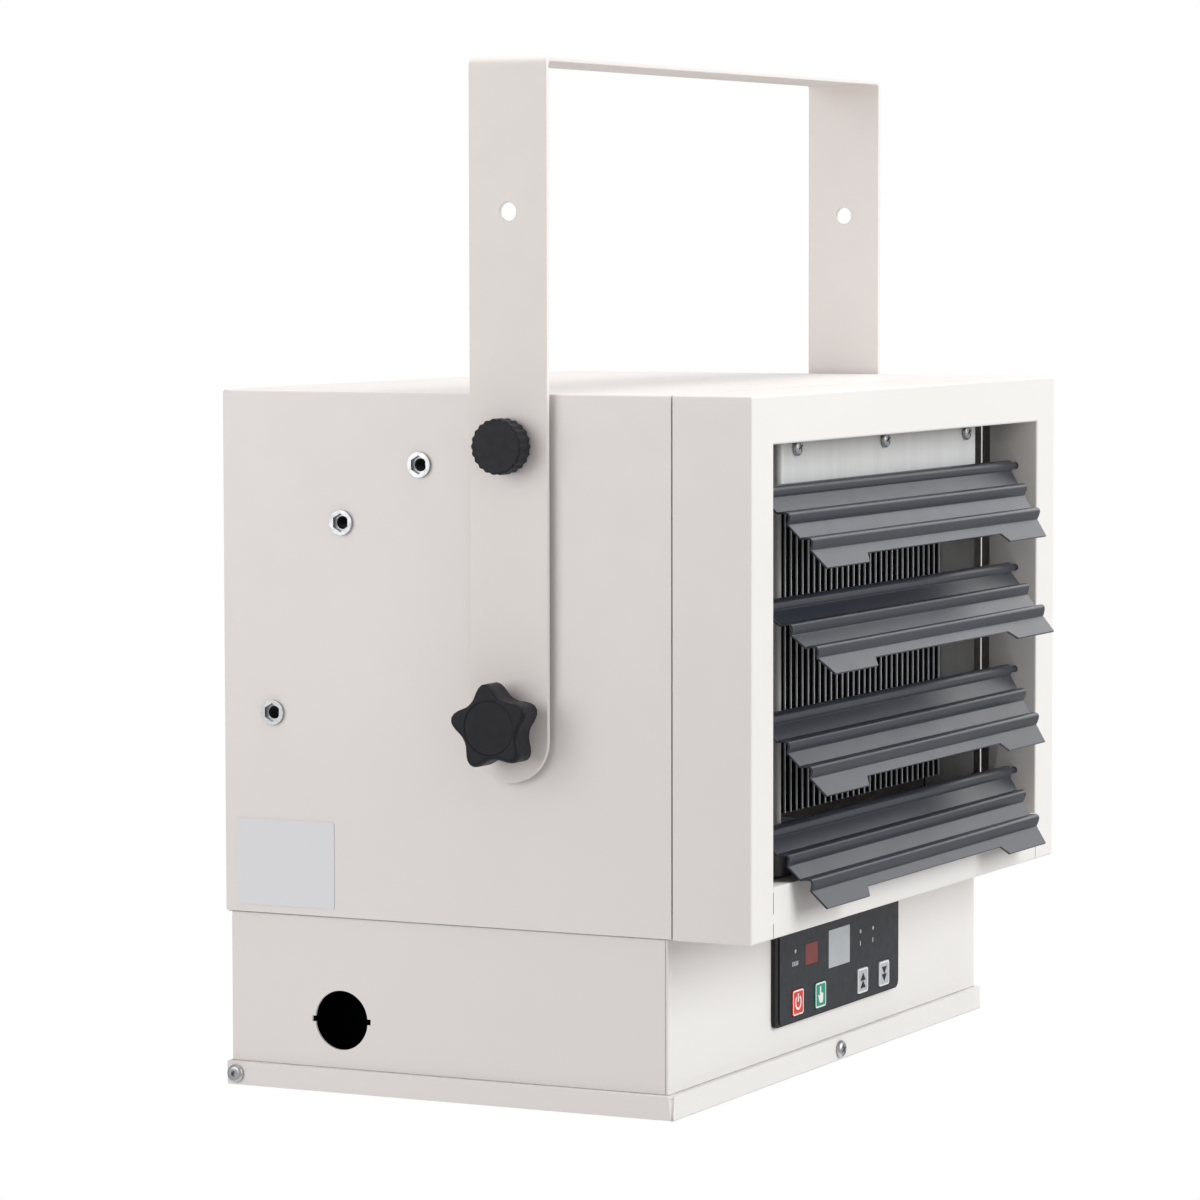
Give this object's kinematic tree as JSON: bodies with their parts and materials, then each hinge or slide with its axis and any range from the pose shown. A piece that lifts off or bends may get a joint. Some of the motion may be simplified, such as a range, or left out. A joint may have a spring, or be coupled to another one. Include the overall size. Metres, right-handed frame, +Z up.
{
  "type": "ceiling mounted fan heater",
  "caption": "Sheet-steel electric fan heater hung in a U-shaped strap: it tilts on clamp knobs, swings its louvres, spins its fan and has press keys.",
  "frame": {"origin": "middle of the upper face of the hanger strap, where it meets the ceiling", "axes": "+Z up out of the ceiling face, -Y out of the air outlet, +X to the right seen from the outlet"},
  "size_m": [0.4274, 0.2969, 0.4844],
  "materials": {
    "cabinet_paint": "warm off-white powder coat, fine satin texture",
    "strap_paint": "warm off-white powder coat, satin",
    "galvanised_steel": "bare galvanised sheet",
    "stainless_steel": "brushed stainless sheet",
    "black_fins": "black fins with bare edges",
    "foil_label": "bare silver-grey label stock",
    "black_phenolic": "matt moulding",
    "ivory_plastic": "matt moulding",
    "black_enamel": "satin black enamel",
    "fan_aluminium": "stamped sheet, satin",
    "zinc_steel": "bright zinc plate",
    "black_liner": "dead matt insulating sheet",
    "black_bezel": "satin moulding",
    "grey_film": "printed film, fine texture",
    "display_grey": "unlit display behind film",
    "infrared_red": "dark red filter",
    "board_green": "solder resist",
    "key_red": "printed film",
    "key_green": "printed film",
    "key_grey": "printed film",
    "louvre_paint": "dark blue-grey powder coat",
    "knob_plastic": "black nylon, fine spark texture"
  },
  "bodies": {
    "hanger": {"hanger_bracket": "strap_paint"},
    "cabinet": {"cabinet_shell": "cabinet_paint", "cabinet_floor": "galvanised_steel", "rear_panel": "cabinet_paint", "rating_label": "foil_label", "outlet_collar": "cabinet_paint", "heater_shroud": "stainless_steel", "air_baffle": "black_enamel", "finned_element": "black_fins", "shroud_screw_1": "zinc_steel", "shroud_screw_2": "zinc_steel", "shroud_screw_3": "zinc_steel", "thermal_cutout": "black_phenolic", "fan_motor": "black_enamel", "motor_mount": "galvanised_steel", "fan_guard": "black_enamel", "control_box": "cabinet_paint", "bottom_tray": "cabinet_paint", "insulation_liner": "black_liner", "terminal_block": "ivory_plastic", "contactor": "black_phenolic", "tray_screw_front": "zinc_steel", "tray_screw_left": "zinc_steel", "keypad_bezel": "black_bezel", "keypad_overlay": "grey_film", "display_window": "display_grey", "infrared_window": "infrared_red", "circuit_board": "board_green", "pivot_insert_left": "zinc_steel", "pivot_insert_right": "zinc_steel", "index_1_insert_left": "zinc_steel", "index_1_insert_right": "zinc_steel", "index_2_insert_left": "zinc_steel", "index_2_insert_right": "zinc_steel", "index_3_insert_left": "zinc_steel", "index_3_insert_right": "zinc_steel", "index_4_insert_left": "zinc_steel", "index_4_insert_right": "zinc_steel"},
    "star_clamp_left": {"star_washer_left": "zinc_steel"},
    "star_screw_left": {"star_knob_left": "knob_plastic", "star_stud_left": "zinc_steel"},
    "star_clamp_right": {"star_washer_right": "zinc_steel"},
    "star_screw_right": {"star_knob_right": "knob_plastic", "star_stud_right": "zinc_steel"},
    "index_clamp_left": {"index_washer_left": "zinc_steel"},
    "index_screw_left": {"index_knob_left": "knob_plastic", "index_stud_left": "zinc_steel"},
    "index_clamp_right": {"index_washer_right": "zinc_steel"},
    "index_screw_right": {"index_knob_right": "knob_plastic", "index_stud_right": "zinc_steel"},
    "louvre_1": {"louvre_1": "louvre_paint"},
    "louvre_2": {"louvre_2": "louvre_paint"},
    "louvre_3": {"louvre_3": "louvre_paint"},
    "louvre_4": {"louvre_4": "louvre_paint"},
    "fan": {"motor_shaft": "zinc_steel", "fan_wheel": "fan_aluminium"},
    "key_power": {"button_power": "key_red"},
    "key_manual": {"button_manual": "key_green"},
    "key_up": {"button_up": "key_grey"},
    "key_down": {"button_down": "key_grey"}
  },
  "joints": [
    {"name": "tilt", "type": "hinge", "parent": "hanger", "child": "cabinet", "pos_m": [0, 0, -0.3054], "axis": [1, 0, 0], "range_deg": [0, 90]},
    {"name": "star_feed_left", "type": "slide", "parent": "hanger", "child": "star_clamp_left", "axis": [-1, 0, 0], "range_m": [0, 0.002]},
    {"name": "star_turn_left", "type": "hinge", "parent": "star_clamp_left", "child": "star_screw_left", "pos_m": [-0.2, 0, -0.3054], "axis": [-1, 0, 0], "range_deg": [0, 720]},
    {"name": "star_feed_right", "type": "slide", "parent": "hanger", "child": "star_clamp_right", "axis": [1, 0, 0], "range_m": [0, 0.002]},
    {"name": "star_turn_right", "type": "hinge", "parent": "star_clamp_right", "child": "star_screw_right", "pos_m": [0.2, 0, -0.3054], "axis": [1, 0, 0], "range_deg": [0, 720]},
    {"name": "index_feed_left", "type": "slide", "parent": "hanger", "child": "index_clamp_left", "axis": [-1, 0, 0], "range_m": [0, 0.002]},
    {"name": "index_turn_left", "type": "hinge", "parent": "index_clamp_left", "child": "index_screw_left", "pos_m": [-0.2, 0, -0.1774], "axis": [-1, 0, 0], "range_deg": [0, 720]},
    {"name": "index_feed_right", "type": "slide", "parent": "hanger", "child": "index_clamp_right", "axis": [1, 0, 0], "range_m": [0, 0.002]},
    {"name": "index_turn_right", "type": "hinge", "parent": "index_clamp_right", "child": "index_screw_right", "pos_m": [0.2, 0, -0.1774], "axis": [1, 0, 0], "range_deg": [0, 720]},
    {"name": "louvre_1_swing", "type": "hinge", "parent": "cabinet", "child": "louvre_1", "pos_m": [0, -0.108, -0.1988], "axis": [1, 0, 0], "range_deg": [-42, 33]},
    {"name": "louvre_2_swing", "type": "hinge", "parent": "cabinet", "child": "louvre_2", "pos_m": [0, -0.108, -0.2511], "axis": [1, 0, 0], "range_deg": [-34, 41]},
    {"name": "louvre_3_swing", "type": "hinge", "parent": "cabinet", "child": "louvre_3", "pos_m": [0, -0.108, -0.3034], "axis": [1, 0, 0], "range_deg": [-42, 33]},
    {"name": "louvre_4_swing", "type": "hinge", "parent": "cabinet", "child": "louvre_4", "pos_m": [0, -0.108, -0.3557], "axis": [1, 0, 0], "range_deg": [-41, 6]},
    {"name": "fan_spin", "type": "hinge", "parent": "cabinet", "child": "fan", "pos_m": [0, 0.1313, -0.2774], "axis": [0, 1, 0], "continuous": true},
    {"name": "key_power_press", "type": "slide", "parent": "cabinet", "child": "key_power", "axis": [0, 1, 0], "range_m": [0, 0.0006], "stiffness_N_per_m": 900},
    {"name": "key_manual_press", "type": "slide", "parent": "cabinet", "child": "key_manual", "axis": [0, 1, 0], "range_m": [0, 0.0006], "stiffness_N_per_m": 900},
    {"name": "key_up_press", "type": "slide", "parent": "cabinet", "child": "key_up", "axis": [0, 1, 0], "range_m": [0, 0.0006], "stiffness_N_per_m": 900},
    {"name": "key_down_press", "type": "slide", "parent": "cabinet", "child": "key_down", "axis": [0, 1, 0], "range_m": [0, 0.0006], "stiffness_N_per_m": 900}
  ],
  "couplings": [
    {"joint": "star_turn_left", "follows": "star_feed_left", "rad_per_m": 6283.2},
    {"joint": "star_turn_right", "follows": "star_feed_right", "rad_per_m": 6283.2},
    {"joint": "index_turn_left", "follows": "index_feed_left", "rad_per_m": 6283.2},
    {"joint": "index_turn_right", "follows": "index_feed_right", "rad_per_m": 6283.2}
  ]
}
